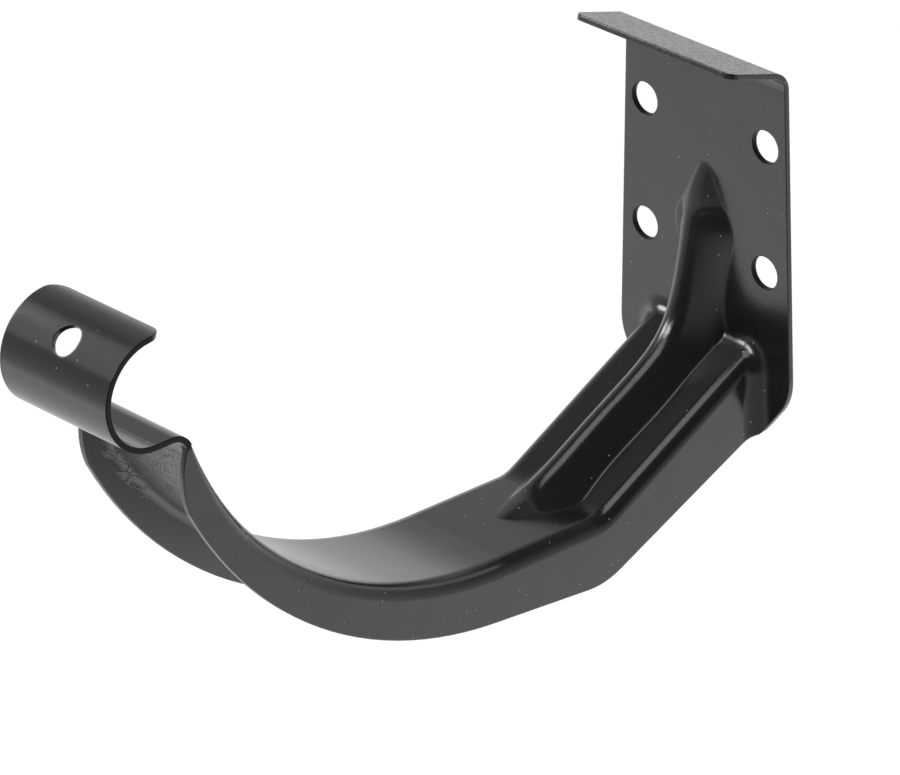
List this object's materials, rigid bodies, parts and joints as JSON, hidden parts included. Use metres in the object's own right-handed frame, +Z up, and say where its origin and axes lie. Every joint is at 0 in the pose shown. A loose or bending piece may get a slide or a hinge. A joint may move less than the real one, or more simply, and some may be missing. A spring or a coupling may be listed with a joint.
{
  "type": "gutter bracket",
  "caption": "Pressed sheet-metal gutter bracket: holed wall plate with a lip, ribbed channel arm, curved cradle and a curled hook for the gutter's bead.",
  "frame": {"origin": "on the wall face of the plate, midway between its four screw holes", "axes": "+Y into the wall, +Z up, X along the gutter; the gutter hangs towards -Y"},
  "size_m": [0.0404, 0.146, 0.0883],
  "materials": {
    "paint": "gloss"
  },
  "bodies": {
    "root": {"gutter_bracket": "paint"}
  },
  "joints": []
}
